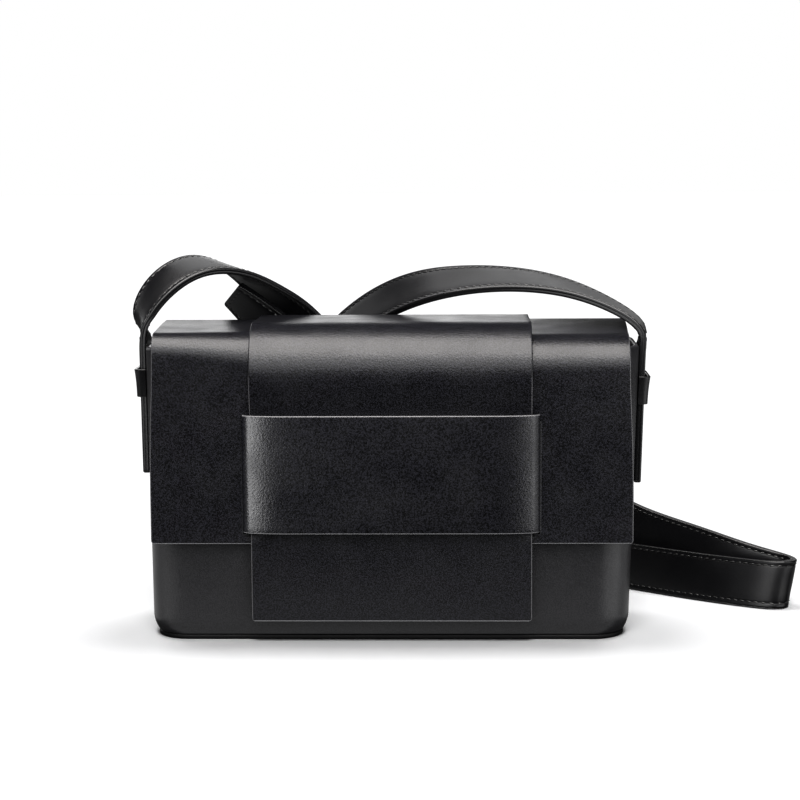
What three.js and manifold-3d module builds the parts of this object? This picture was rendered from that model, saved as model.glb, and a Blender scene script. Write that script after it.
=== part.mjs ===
// Crossbody bag of black leather: a moulded box, closed by a flap whose tongue is laced under a cross band.
// Millimetres, +Z up, front towards -Y, +X to the right in front view.
// The origin is the middle of the base's underside, on the surface that the bag stands on.

import * as THREE from 'three';
import { NURBSCurve } from 'three/addons/curves/NURBSCurve.js';
import { mergeVertices } from 'three/addons/utils/BufferGeometryUtils.js';
import Module from 'manifold-3d';

const wasm = await Module();
wasm.setup();

// Clearance between pieces that touch on the real bag
const GAP = 0.3;

// Flap: the widest panel, from the back over the top and down the front
const FLAP_WIDTH = 220;
const FLAP_DEPTH = 70;
const FLAP_TOP = 142.3;
const FLAP_THICK = 1.8;
const FLAP_FRONT_EDGE = 46;
const FLAP_BACK_EDGE = 58;
const FLAP_FRONT_BEND = 9.5;
const FLAP_BACK_BEND = 7.5;

// Tongue: the narrower panel over the flap, whose front bend stands softly proud of the flap's
const TONGUE_WIDTH = 128;
const TONGUE_THICK = 1.8;
const TONGUE_FRONT_EDGE = 11.2;
const TONGUE_BACK_EDGE = 78;
const TONGUE_BACK_BEND = FLAP_BACK_BEND + GAP + TONGUE_THICK / 2;
const TONGUE_CROWN = 1.5;
const TONGUE_BULGE = 2.6;
const TONGUE_CREST_Y = -18;
const TONGUE_BEND_DROP = 16;
const TONGUE_TOUCH_DROP = 1;
const TONGUE_EASE = { back: 17.5, crest: 10, brow: 12.5, fall: 14, leave: 8, meet: 10 };

// Cross band: over the tongue, with its ends led through slits and laid flat behind the flap
const BAND_BOTTOM = 51.5;
const BAND_TOP = 105.6;
const BAND_THICK = 1.5;
const BAND_HALF_FRONT = 60;
const BAND_HALF_LENGTH = 82;
const BAND_BOW = 1.0;
const BAND_BOW_EASE = { proud: 15, touch: 30 };
const BAND_TAIL_START = 71.6;
const BAND_BEND_EASE = { tail: 5.2, front: 9.1 };
const SLIT_INNER = 66;
const SLIT_OUTER = 71;
const SLIT_SLACK = 0.6;

// Moulded body, open at the top, with sides that lean out towards the rim and a foot a little to the left
const BASE_THICK = 2.2;
const SHELL_FOOT = BASE_THICK + GAP;
const SHELL_WALL = 2;
const SHELL_RIM = 135;
const SHELL_HEEL_TOP = 10.5;
const SHELL_HEEL_RADIUS = 14;
const SHELL_HALF_WIDTH = 111;
const SHELL_RIM_HALF_WIDTH = 113.5;
const SHELL_FOOT_SHIFT = -1.4;
const SHELL_CORNER = 18;
const HEM_THICK = 3.2;
const HEM_HEIGHT = 6;
const CORNER_STEPS = 7;
const HEEL_STEPS = 4;

// Strap: two sewn layers, a tail on each side wall, held there by a loop
const STRAP_WIDTH = 23;
const STRAP_THICK = 3.3;
const STRAP_CHAMFER = 0.9;
const STRAP_STEPS_PER_ROW = 4;
const LOOP_HEIGHT = 13;
const LOOP_THICK = 1.3;
const LOOP_SLACK = 0.4;
const LOOP_BEND = 1.6;
const LOOP_FOOT = { left: 111, right: 107 };
const TAIL_LEVELS = { left: [75, 92, 108, 121, 131, 138.5], right: [70, 88, 104, 116, 126, 133] };

// Where the two strap pieces overlap behind the bag: on one slanted line, the long piece in front
const KEEPER_CENTRE = new THREE.Vector3(25, 61, 73.5);
const KEEPER_ALONG = new THREE.Vector3(-0.86, -0.29, 0.42).normalize();
const KEEPER_OUTWARDS = new THREE.Vector3(KEEPER_ALONG.y, -KEEPER_ALONG.x, 0).normalize();
const KEEPER_ACROSS = new THREE.Vector3().crossVectors(KEEPER_OUTWARDS, KEEPER_ALONG);
const KEEPER_HEIGHT = 14;
const KEEPER_THICK = 1.5;
const OVERLAP_STEP = 20;

// How many straight steps stand for each bend, and how near two corners are one
const FLAP_DIVISIONS = 5;
const TONGUE_DIVISIONS = 7;
const BAND_DIVISIONS = 8;
const LOOP_DIVISIONS = 4;
const SAME_POINT = 1e-4;

// Sizes that follow from those above
const FLAP_FACE = FLAP_DEPTH / 2;
const SLIT_CUT = 4 * FLAP_THICK;
const BAND_TAIL_Y = -FLAP_FACE + FLAP_THICK + GAP + BAND_THICK / 2;
const SHELL_FRONT = BAND_TAIL_Y + BAND_THICK / 2 + GAP;
const SHELL_BACK = FLAP_FACE - FLAP_THICK - GAP;
const SHELL_MIDDLE_Y = (SHELL_FRONT + SHELL_BACK) / 2;
const SHELL_HALF_DEPTH = (SHELL_BACK - SHELL_FRONT) / 2;
const SHELL_LEAN = (SHELL_RIM_HALF_WIDTH - SHELL_HALF_WIDTH) / (SHELL_RIM - SHELL_HEEL_TOP);

const leather = new THREE.MeshStandardMaterial({ color: 0x17171a, roughness: 0.5, metalness: 0 });
const mouldedLeather = new THREE.MeshStandardMaterial({ color: 0x1c1c1f, roughness: 0.45, metalness: 0 });
const strapLeather = new THREE.MeshStandardMaterial({ color: 0x141416, roughness: 0.42, metalness: 0 });

// Half the shell's outside width at a height
function wallAt(z) {
  return SHELL_HALF_WIDTH + SHELL_LEAN * Math.max(z - SHELL_HEEL_TOP, 0);
}

// The shell's middle at a height, and where the outside of its left (-1) or right (1) wall stands
function middleAt(z) {
  return SHELL_FOOT_SHIFT * (1 - z / SHELL_RIM);
}

function wallX(side, z) {
  return middleAt(z) + side * wallAt(z);
}

// A closed body skinned over rings of equal point count, with a fan of triangles over each end
function skin(rings) {
  const count = rings[0].length;
  const points = rings.flat();
  const index = [];
  rings.slice(1).forEach((_, row) => {
    for (let i = 0; i < count; i += 1) {
      const next = (i + 1) % count;
      const [a, b] = [row * count + i, row * count + next];
      const [c, d] = [a + count, b + count];
      index.push(a, b, d, a, d, c);
    }
  });
  const lastRow = (rings.length - 1) * count;
  for (let i = 1; i < count - 1; i += 1) {
    index.push(0, i + 1, i);
    index.push(lastRow, lastRow + i, lastRow + i + 1);
  }
  const geometry = new THREE.BufferGeometry().setFromPoints(points);
  geometry.setIndex(index);
  geometry.computeVertexNormals();
  return geometry;
}

// A rounded rectangle around the shell's middle, at one height and drawn in by an inset
function shellRing(z, inset) {
  const radius = SHELL_CORNER - inset;
  const [straightX, straightY] = [wallAt(z) - inset - radius, SHELL_HALF_DEPTH - inset - radius];
  const corners = [[1, -1], [1, 1], [-1, 1], [-1, -1]];
  return corners.flatMap(([sideX, sideY], corner) => {
    const points = [];
    for (let i = 0; i <= CORNER_STEPS; i += 1) {
      const angle = (corner - 1 + i / CORNER_STEPS) * Math.PI / 2;
      points.push(new THREE.Vector3(
        middleAt(z) + sideX * straightX + radius * Math.cos(angle),
        SHELL_MIDDLE_Y + sideY * straightY + radius * Math.sin(angle),
        z,
      ));
    }
    return points;
  });
}

// How far the heel's arc draws the wall in, at a depth below the heel's top
function heelInset(drop) {
  return SHELL_HEEL_RADIUS - Math.sqrt(SHELL_HEEL_RADIUS ** 2 - drop ** 2);
}

// The rings of the heel, from its foot upwards, for one face of the wall
function heelRings(foot, wall) {
  const depth = SHELL_HEEL_TOP - foot;
  return Array.from({ length: HEEL_STEPS + 1 }, (_, i) => {
    const drop = depth * (1 - i / HEEL_STEPS);
    return shellRing(SHELL_HEEL_TOP - drop, wall + heelInset(drop));
  });
}

// The body: up the outside, over a hem doubled inwards, and down the inside to the floor
function bodyShell() {
  const hemFoot = SHELL_RIM - HEM_HEIGHT;
  return skin([
    ...heelRings(SHELL_FOOT, 0),
    shellRing(SHELL_RIM, 0),
    shellRing(SHELL_RIM, HEM_THICK),
    shellRing(hemFoot, HEM_THICK),
    shellRing(hemFoot, SHELL_WALL),
    ...heelRings(SHELL_FOOT + SHELL_WALL, SHELL_WALL).reverse(),
  ]);
}

// The sole plate, flush with the foot of the shell's heel
function basePanel() {
  const inset = heelInset(SHELL_HEEL_TOP - SHELL_FOOT);
  return skin([shellRing(0, inset), shellRing(BASE_THICK, inset)]);
}

// The outline of a bent sheet: its middle line, moved half a thickness to either side
function sheetOutline(path, thickness, divisions) {
  const line = path.getPoints(divisions);
  const offsets = line.map((point, i) => {
    const before = line[Math.max(i - 1, 0)];
    const after = line[Math.min(i + 1, line.length - 1)];
    const incoming = point.clone().sub(before).normalize();
    const outgoing = after.clone().sub(point).normalize();
    const along = incoming.add(outgoing).normalize();
    return new THREE.Vector2(-along.y, along.x).multiplyScalar(thickness / 2);
  });
  const left = line.map((point, i) => point.clone().add(offsets[i]));
  const right = line.map((point, i) => point.clone().sub(offsets[i]));
  return new THREE.Shape([...left, ...right.reverse()]);
}

// A panel whose section lies in the YZ plane, extruded along X about the middle
function panelAcross(section, width) {
  const geometry = new THREE.ExtrudeGeometry(section, { depth: width, bevelEnabled: false });
  geometry.translate(0, 0, -width / 2);
  const alongX = new THREE.Vector3(1, 0, 0);
  const alongY = new THREE.Vector3(0, 1, 0);
  const alongZ = new THREE.Vector3(0, 0, 1);
  return geometry.applyMatrix4(new THREE.Matrix4().makeBasis(alongY, alongZ, alongX));
}

// A closed geometry as a solid that can be cut
function solidOf(geometry) {
  const bare = geometry.clone();
  bare.deleteAttribute('normal');
  bare.deleteAttribute('uv');
  const merged = mergeVertices(bare, SAME_POINT);
  return new wasm.Manifold(new wasm.Mesh({
    numProp: 3,
    vertProperties: new Float32Array(merged.attributes.position.array),
    triVerts: new Uint32Array(merged.index.array),
  }));
}

// A cut solid as a geometry again
function geometryOf(solid) {
  const mesh = solid.getMesh();
  const geometry = new THREE.BufferGeometry();
  geometry.setAttribute('position', new THREE.BufferAttribute(mesh.vertProperties, 3));
  geometry.setIndex(new THREE.BufferAttribute(mesh.triVerts, 1));
  geometry.computeVertexNormals();
  return geometry;
}

// The flap: one sheet round the front and back bends, with an upright slit for each end of the band
function flap() {
  const half = FLAP_THICK / 2;
  const [front, back, top] = [-FLAP_FACE + half, FLAP_FACE - half, FLAP_TOP - half];
  const [frontBend, backBend] = [FLAP_FRONT_BEND - half, FLAP_BACK_BEND - half];
  const path = new THREE.Path();
  path.moveTo(front, FLAP_FRONT_EDGE);
  path.lineTo(front, top - frontBend);
  path.absarc(front + frontBend, top - frontBend, frontBend, Math.PI, Math.PI / 2, true);
  path.lineTo(back - backBend, top);
  path.absarc(back - backBend, top - backBend, backBend, Math.PI / 2, 0, true);
  path.lineTo(back, FLAP_BACK_EDGE);
  const sheet = solidOf(panelAcross(sheetOutline(path, FLAP_THICK, FLAP_DIVISIONS), FLAP_WIDTH));
  const slitHeight = BAND_TOP - BAND_BOTTOM + 2 * SLIT_SLACK;
  return geometryOf([-1, 1].reduce((rest, side) => {
    const slit = new THREE.BoxGeometry(SLIT_OUTER - SLIT_INNER, SLIT_CUT, slitHeight);
    slit.translate(side * (SLIT_INNER + SLIT_OUTER) / 2, front, (BAND_BOTTOM + BAND_TOP) / 2);
    return rest.subtract(solidOf(slit));
  }, sheet));
}

// The tongue: up the back, over the top with a low crown, round a soft bend and down under the band
function tongue() {
  const stand = FLAP_FACE + GAP + TONGUE_THICK / 2;
  const top = FLAP_TOP + GAP + TONGUE_THICK / 2;
  const crest = top + TONGUE_CROWN;
  const proud = -stand - TONGUE_BULGE;
  const turned = stand - TONGUE_BACK_BEND;
  const bent = FLAP_TOP - TONGUE_BEND_DROP;
  const touch = BAND_TOP - TONGUE_TOUCH_DROP;
  const ease = TONGUE_EASE;
  const path = new THREE.Path();
  path.moveTo(stand, TONGUE_BACK_EDGE);
  path.lineTo(stand, top - TONGUE_BACK_BEND);
  path.absarc(turned, top - TONGUE_BACK_BEND, TONGUE_BACK_BEND, 0, Math.PI / 2, false);
  path.bezierCurveTo(turned - ease.back, top, TONGUE_CREST_Y + ease.crest, crest, TONGUE_CREST_Y, crest);
  path.bezierCurveTo(TONGUE_CREST_Y - ease.brow, crest, proud, bent + ease.fall, proud, bent);
  path.bezierCurveTo(proud, bent - ease.leave, -stand, touch + ease.meet, -stand, touch);
  path.lineTo(-stand, TONGUE_FRONT_EDGE);
  return panelAcross(sheetOutline(path, TONGUE_THICK, TONGUE_DIVISIONS), TONGUE_WIDTH);
}

// The band: flat over the tongue, an S-bend through each slit, and a short tail behind the flap
function band() {
  const touch = -(FLAP_FACE + GAP + TONGUE_THICK + GAP + BAND_THICK / 2);
  const proud = touch - BAND_BOW;
  const tail = BAND_TAIL_Y;
  const leaving = BAND_TAIL_START - BAND_BEND_EASE.tail;
  const arriving = BAND_HALF_FRONT + BAND_BEND_EASE.front;
  const sinking = BAND_HALF_FRONT - BAND_BOW_EASE.proud;
  const path = new THREE.Path();
  path.moveTo(-BAND_HALF_LENGTH, tail);
  path.lineTo(-BAND_TAIL_START, tail);
  path.bezierCurveTo(-leaving, tail, -arriving, proud, -BAND_HALF_FRONT, proud);
  path.bezierCurveTo(-sinking, proud, -BAND_BOW_EASE.touch, touch, 0, touch);
  path.bezierCurveTo(BAND_BOW_EASE.touch, touch, sinking, proud, BAND_HALF_FRONT, proud);
  path.bezierCurveTo(arriving, proud, leaving, tail, BAND_TAIL_START, tail);
  path.lineTo(BAND_HALF_LENGTH, tail);
  const section = sheetOutline(path, BAND_THICK, BAND_DIVISIONS);
  const depth = BAND_TOP - BAND_BOTTOM;
  const geometry = new THREE.ExtrudeGeometry(section, { depth, bevelEnabled: false });
  return geometry.translate(0, 0, BAND_BOTTOM);
}

// A loop on the right wall: a staple of leather round the strap, drawn outwards from the wall
function sideLoop() {
  const inner = { depth: STRAP_THICK + LOOP_SLACK, half: STRAP_WIDTH / 2 + LOOP_SLACK };
  const outer = { depth: inner.depth + LOOP_THICK, half: inner.half + LOOP_THICK };
  const bend = LOOP_BEND;
  const shape = new THREE.Shape();
  shape.moveTo(0, -outer.half);
  shape.lineTo(outer.depth - bend, -outer.half);
  shape.absarc(outer.depth - bend, -outer.half + bend, bend, -Math.PI / 2, 0, false);
  shape.lineTo(outer.depth, outer.half - bend);
  shape.absarc(outer.depth - bend, outer.half - bend, bend, 0, Math.PI / 2, false);
  shape.lineTo(0, outer.half);
  shape.lineTo(0, inner.half);
  shape.lineTo(inner.depth, inner.half);
  shape.lineTo(inner.depth, -inner.half);
  shape.lineTo(0, -inner.half);
  const options = { depth: LOOP_HEIGHT, bevelEnabled: false, curveSegments: LOOP_DIVISIONS };
  return new THREE.ExtrudeGeometry(shape, options);
}

// Rows of a strap's route that lie flat on one side wall, a row for each level
function tailRows(side, levels) {
  const away = side * (GAP + STRAP_THICK / 2);
  return levels.map((z) => ({ x: wallX(side, z) + away, y: 0, z, across: [0, 1, 0] }));
}

// Rows on the slanted line where the strap pieces overlap, at steps along it and a depth behind it
function overlapRows(steps, behind, upwards) {
  const across = KEEPER_ACROSS.clone().multiplyScalar(upwards).toArray();
  return steps.map((step) => {
    const point = KEEPER_CENTRE.clone().addScaledVector(KEEPER_ALONG, step * OVERLAP_STEP);
    point.addScaledVector(KEEPER_OUTWARDS, behind);
    return { x: point.x, y: point.y, z: point.z, across };
  });
}

// Each row guides the strap's middle line; across points from the strap's near edge to its rear edge.
// The short piece: left tail, arc over the shoulder, twist, and down behind the bag to the overlap.
const SHORT_ROUTE = [
  ...tailRows(-1, TAIL_LEVELS.left),
  { x: -118.3, y: 0, z: 147, across: [-0.5, 0.86, 0.05] },
  { x: -111.2, y: 1, z: 159.2, across: [-0.46, 0.83, 0.36] },
  { x: -99.9, y: 5, z: 168.8, across: [-0.45, 0.84, 0.33] },
  { x: -87, y: 12, z: 172, across: [-0.52, 0.82, 0.22] },
  { x: -73.5, y: 25.8, z: 166.8, across: [-0.69, 0.7, 0.1] },
  { x: -60.5, y: 37.8, z: 154.8, across: [-0.78, 0.56, -0.08] },
  { x: -47.5, y: 46, z: 141, across: [-0.75, 0.38, -0.5] },
  { x: -35, y: 51, z: 124, across: [-0.68, 0.2, -0.65] },
  { x: -19, y: 55.5, z: 106.5, across: [-0.62, 0, -0.72] },
  { x: -4, y: 58, z: 92.5, across: [-0.55, -0.05, -0.8] },
  ...overlapRows([1, 0.3, -0.4, -1], STRAP_THICK + GAP, -1),
];

// The long piece: right tail, arc over the top, down behind the bag, on edge round the floor loop,
// and up the bag's back to the overlap and the free end.
const LONG_ROUTE = [
  ...tailRows(1, TAIL_LEVELS.right),
  { x: 117.6, y: 0.5, z: 140.5, across: [0.14, 0.98, 0] },
  { x: 108, y: 2.5, z: 149, across: [0.12, 0.98, 0.03] },
  { x: 82, y: 8, z: 160.5, across: [0, 0.97, 0.2] },
  { x: 52, y: 14, z: 164, across: [0, 0.94, 0.34] },
  { x: 24, y: 22, z: 161.5, across: [-0.05, 0.88, 0.46] },
  { x: 0, y: 41, z: 154, across: [-0.1, 0.82, 0.55] },
  { x: -24, y: 65, z: 138, across: [-0.1, 0.75, 0.65] },
  { x: -46, y: 86, z: 112, across: [-0.1, 0.6, 0.8] },
  { x: -66, y: 108, z: 82, across: [-0.1, 0.45, 0.85] },
  { x: -82, y: 128, z: 50, across: [-0.1, 0.3, 0.95] },
  { x: -84, y: 150, z: 24, across: [0, 0.1, 1] },
  { x: -66, y: 170, z: 12, across: [0, 0, 1] },
  { x: -34, y: 176, z: 11.8, across: [0, 0, 1] },
  { x: 2, y: 166, z: 11.8, across: [0, 0, 1] },
  { x: 40, y: 142, z: 11.8, across: [0, 0.05, 1] },
  { x: 80, y: 110, z: 11.8, across: [0, 0.05, 1] },
  { x: 114, y: 82, z: 11.8, across: [0, 0.1, 1] },
  { x: 146, y: 56, z: 11.7, across: [0, 0.25, 1] },
  { x: 172, y: 39, z: 11.8, across: [0.08, 0.2, 1] },
  { x: 187, y: 31, z: 11.9, across: [0.15, 0.1, 1] },
  { x: 194.5, y: 39, z: 12.2, across: [0.18, 0, 1] },
  { x: 189.5, y: 48, z: 13, across: [0.22, 0, 0.97] },
  { x: 172, y: 53, z: 17, across: [0.22, -0.1, 0.97] },
  { x: 148, y: 67.5, z: 23.8, across: [0.2, -0.12, 0.97] },
  { x: 122, y: 88.5, z: 28.6, across: [0.2, -0.1, 0.97] },
  { x: 98, y: 97, z: 40.5, across: [0.3, 0, 0.95] },
  { x: 70, y: 83, z: 55, across: [0.4, 0.1, 0.92] },
  ...overlapRows([-1.6, -0.8, 0, 0.8, 1.6], 0, 1),
  { x: -22, y: 49.5, z: 98, across: [0.5, -0.05, 0.85] },
  { x: -44, y: 50, z: 117, across: [0.5, -0.15, 0.8] },
  { x: -60.5, y: 39.8, z: 139.7, across: [0.46, -0.5, 0.68] },
  { x: -78.8, y: 39.1, z: 154.9, across: [0.354, -0.793, 0.496] },
];

// A smooth curve guided by rows of control points, starting and ending on the first and the last
function guide(vectors) {
  const degree = 3;
  const spans = vectors.length - degree;
  const inner = Array.from({ length: spans + 1 }, (_, i) => i / spans);
  const knots = [0, 0, 0, ...inner, 1, 1, 1];
  return new NURBSCurve(degree, knots, vectors.map(([x, y, z]) => new THREE.Vector4(x, y, z, 1)));
}

// A strap with chamfered edges carried along its route
function strap(route) {
  const middle = guide(route.map(({ x, y, z }) => [x, y, z]));
  const lean = guide(route.map(({ across }) => across));
  const [halfWidth, halfThick] = [STRAP_WIDTH / 2, STRAP_THICK / 2];
  const [flat, side] = [halfWidth - STRAP_CHAMFER, halfThick - STRAP_CHAMFER];
  const section = [
    [halfWidth, -side], [halfWidth, side], [flat, halfThick], [-flat, halfThick],
    [-halfWidth, side], [-halfWidth, -side], [-flat, -halfThick], [flat, -halfThick],
  ];
  const steps = route.length * STRAP_STEPS_PER_ROW;
  const rings = Array.from({ length: steps + 1 }, (_, i) => {
    const t = i / steps;
    const point = middle.getPoint(t);
    const along = middle.getTangent(t);
    const across = lean.getPoint(t);
    across.addScaledVector(along, -across.dot(along)).normalize();
    const outwards = new THREE.Vector3().crossVectors(along, across);
    return section.map(([u, v]) => point.clone().addScaledVector(across, u).addScaledVector(outwards, v));
  });
  return skin(rings);
}

// The keeper: a closed ring of leather round both strap pieces
function strapKeeper() {
  const inner = { x: STRAP_WIDTH / 2 + GAP, y: STRAP_THICK + GAP / 2 + GAP };
  const outer = { x: inner.x + KEEPER_THICK, y: inner.y + KEEPER_THICK };
  const rectangle = ({ x, y }) => {
    const corners = [[-x, -y], [x, -y], [x, y], [-x, y]];
    return corners.map(([u, v]) => new THREE.Vector2(u, v));
  };
  const shape = new THREE.Shape(rectangle(outer));
  shape.holes.push(new THREE.Path(rectangle(inner).reverse()));
  const geometry = new THREE.ExtrudeGeometry(shape, { depth: KEEPER_HEIGHT, bevelEnabled: false });
  return geometry.translate(0, 0, -KEEPER_HEIGHT / 2);
}

// A named piece of the bag
function piece(name, geometry, material) {
  const mesh = new THREE.Mesh(geometry, material);
  mesh.name = name;
  return mesh;
}

const bag = new THREE.Group();
bag.add(
  piece('body_shell', bodyShell(), mouldedLeather),
  piece('base_panel', basePanel(), mouldedLeather),
  piece('flap', flap(), leather),
  piece('tongue', tongue(), leather),
  piece('band', band(), leather),
  piece('strap_short', strap(SHORT_ROUTE), strapLeather),
  piece('strap_long', strap(LONG_ROUTE), strapLeather),
);

// Each side's loop leans with its wall; the left side is the right side turned half round
[['right', 1], ['left', -1]].forEach(([name, side]) => {
  const turned = new THREE.Group();
  turned.rotation.z = side > 0 ? 0 : Math.PI;
  const loop = piece(`side_loop_${name}`, sideLoop(), strapLeather);
  const foot = LOOP_FOOT[name];
  const [wallFoot, wallTop] = [side * wallX(side, foot), side * wallX(side, foot + LOOP_HEIGHT)];
  loop.position.set(wallFoot + GAP, 0, foot);
  loop.rotation.y = Math.atan((wallTop - wallFoot) / LOOP_HEIGHT);
  turned.add(loop);
  bag.add(turned);
});

// The keeper stands square on the slanted line of the overlap, midway between the two strap pieces
const keeper = piece('strap_keeper', strapKeeper(), strapLeather);
keeper.setRotationFromMatrix(new THREE.Matrix4().makeBasis(KEEPER_ACROSS, KEEPER_OUTWARDS, KEEPER_ALONG));
keeper.position.copy(KEEPER_CENTRE).addScaledVector(KEEPER_OUTWARDS, (STRAP_THICK + GAP) / 2);
bag.add(keeper);

export default bag;
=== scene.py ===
# %% [markdown]
# # A laced leather crossbody bag
# A small boxy bag of black leather stands on a pale surface. A wide flap closes it, a narrower tongue
# lies over the flap, and a cross band laces the tongue down: this is the bag's "weave". A flat sewn
# strap arcs over the top and falls behind the bag, where one loop of it lies on the floor.
# The imported model gives every piece its place, so the first step loads it and keeps each part where it
# stands.

# %% Load the imported model
import bpy
import numpy as np
from mathutils import Matrix


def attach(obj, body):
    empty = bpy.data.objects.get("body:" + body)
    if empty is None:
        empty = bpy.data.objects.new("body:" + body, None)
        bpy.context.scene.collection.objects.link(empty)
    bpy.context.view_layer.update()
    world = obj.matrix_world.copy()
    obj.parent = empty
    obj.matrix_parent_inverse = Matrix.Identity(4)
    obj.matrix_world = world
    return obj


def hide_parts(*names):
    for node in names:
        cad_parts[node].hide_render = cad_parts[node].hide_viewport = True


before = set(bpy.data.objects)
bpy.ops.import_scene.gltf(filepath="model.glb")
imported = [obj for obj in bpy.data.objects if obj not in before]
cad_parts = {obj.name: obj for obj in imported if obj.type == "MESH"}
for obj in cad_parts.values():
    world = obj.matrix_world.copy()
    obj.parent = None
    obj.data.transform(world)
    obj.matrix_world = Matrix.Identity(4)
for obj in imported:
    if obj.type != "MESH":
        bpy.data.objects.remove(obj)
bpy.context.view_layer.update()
MM = 0.001

# %% [markdown]
# ## The camera
# The picture was taken from a little above and almost straight in front, with a long lens. A camera can
# be placed by eye, but here its place, aim and small roll come from matching the corners of the flap,
# tongue and base. The camera's axes are worked out as three vectors and written into its matrix.

# %% Camera
CAMERA_PLACE = np.array([31.5, -974.1, 236.2]) * MM
CAMERA_AIM = np.array([3.3, 0.0, 107.6]) * MM
CAMERA_ROLL = np.radians(-0.37)
LENS, SENSOR = 94.46, 36.0


def unit(vectors):
    """Each vector divided by its own length."""
    return vectors / np.linalg.norm(vectors, axis=-1, keepdims=True)


def facing(place, aim, roll=0.0, above=(0.0, 0.001, 1.0)):
    """A matrix that stands at a place and looks at its aim: side = ahead x above and up = side x ahead,
    both turned by the roll. The usual above isn't quite upright, so that a lamp may face straight up."""
    ahead = unit(np.array(aim, float) - np.array(place, float))
    level = unit(np.cross(ahead, above))
    upright = np.cross(level, ahead)
    side = np.cos(roll) * level + np.sin(roll) * upright
    up = np.cos(roll) * upright - np.sin(roll) * level
    matrix = np.eye(4)
    matrix[:3, :3] = np.stack([side, up, -ahead], axis=1)
    matrix[:3, 3] = place
    return Matrix(matrix.tolist())


lens = bpy.data.cameras.new("camera")
lens.lens, lens.sensor_width = LENS, SENSOR
camera = bpy.data.objects.new("camera", lens)
camera.matrix_world = facing(CAMERA_PLACE, CAMERA_AIM, CAMERA_ROLL, above=(0.0, 0.0, 1.0))
bpy.context.collection.objects.link(camera)
bpy.context.scene.camera = camera
print("camera", np.round(CAMERA_PLACE, 3), "lens", LENS)

# %% [markdown]
# ## Lofting
# Every piece of this bag is a closed section carried through space: a sheet's thin edge-to-edge outline
# along its bends, or the box's rounded outline up its walls. So one helper numbers the faces between
# neighbouring sections and closes the two ends. Sections run anticlockwise about the way they travel, and
# point i lies opposite point n - 1 - i, so an end closes with a ladder of faces between opposite points.

# %% Lofted pieces
def loft_faces(rows, count, closed=False):
    """Faces between neighbouring sections, row by row, with ladders over both ends unless closed."""
    row, column = np.meshgrid(np.arange(rows if closed else rows - 1), np.arange(count), indexing="ij")
    here, beyond, beside = row * count, (row + 1) % rows * count, (column + 1) % count
    sides = np.stack([here + column, here + beside, beyond + beside, beyond + column], -1).reshape(-1, 4)
    if closed:
        return sides
    i = np.arange(count // 2 - 1)
    ladder = np.stack([i, i + 1, count - 2 - i, count - 1 - i], -1)
    return np.concatenate([sides, ladder[:, ::-1], ladder + (rows - 1) * count])


made = []  # every piece, for the lamps' groups


def make_piece(name, points, finish, slot, *nodes, edge=0.0, faces=None, flat=0):
    """A mesh from points in millimetres, lofted unless its faces are given, and smooth but for its last
    flat faces. edge is the share of the edge's finish, up to 1 on cut or painted edges and 0 on the
    leather's face; on the grained pieces it also places painted highlight and shade."""
    if faces is None:
        faces = loft_faces(*points.shape[:2])
    mesh = bpy.data.meshes.new(name)
    mesh.from_pydata((points.reshape(-1, 3) * MM).tolist(), [], faces.tolist())
    mesh.polygons.foreach_set("use_smooth", np.arange(len(faces)) < len(faces) - flat)
    marks = np.broadcast_to(edge, points.shape[:-1]).ravel().astype(np.float32)
    mesh.attributes.new("edge", "FLOAT", "POINT").data.foreach_set("value", marks)
    mesh.materials.append(finish)
    mesh.update()
    piece = bpy.data.objects.new(name, mesh)
    bpy.context.collection.objects.link(piece)
    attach(piece, "root")
    if nodes:
        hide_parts(*nodes)
    made.append(piece)
    low, high = points.reshape(-1, 3).min(0), points.reshape(-1, 3).max(0)
    print(name, len(faces), "faces, mm", np.round(low, 1), "to", np.round(high, 1))
    return piece


# %% [markdown]
# ## The leathers
# All the leather is black, but it isn't one finish. The flap, tongue and band have a fine pebbled grain,
# the moulded body is smoother, the strap is satin with painted edges, and the sole is dull. Cut edges
# show as thin paler lines, partly from their paint and partly as painted highlight, for the light that
# their round arrises catch. One recipe makes them all: fine noise speckles the tint and, mixed with small
# cells, gives the grain as a bump, long low waves lie under it, slow noise shifts the gloss, and the
# "edge" mark on each mesh lets the edge's own finish in. Nothing depends on the view.

# %% Shader nodes
def fill(tree, node, sockets):
    """Fills a node's sockets, by name or number: another node's output is linked, a value is set."""
    for key, value in sockets.items():
        if isinstance(value, bpy.types.NodeSocket):
            tree.links.new(value, node.inputs[key])
        else:
            node.inputs[key].default_value = value


def add(tree, kind, output, sockets=None, **settings):
    """Adds a node of a kind with its settings, fills its sockets and gives one of its outputs."""
    node = tree.nodes.new("ShaderNode" + kind)
    for name, value in settings.items():
        setattr(node, name, value)
    fill(tree, node, sockets or {})
    return node.outputs[output]


def principled(name):
    """A new material, its tree of nodes and its shader."""
    finish = bpy.data.materials.new(name)
    finish.use_nodes = True
    return finish, finish.node_tree, finish.node_tree.nodes["Principled BSDF"]


# %% Leather finish
SPECK_RANGE, GLOSS_PATCH, GLOSS_SHIFT = 0.11, 16.0, 0.05
WAVE_LENGTH, WAVE_DEPTH, WAVE_STRENGTH = 30.0, 0.35, 0.5
CELL_SIZE, GRAIN_PATCH = 1.5, 4.0  # in grains
MIX_SOCKETS = {"FLOAT": (2, 3, 0), "RGBA": (6, 7, 2)}  # two inputs and the output


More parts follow.
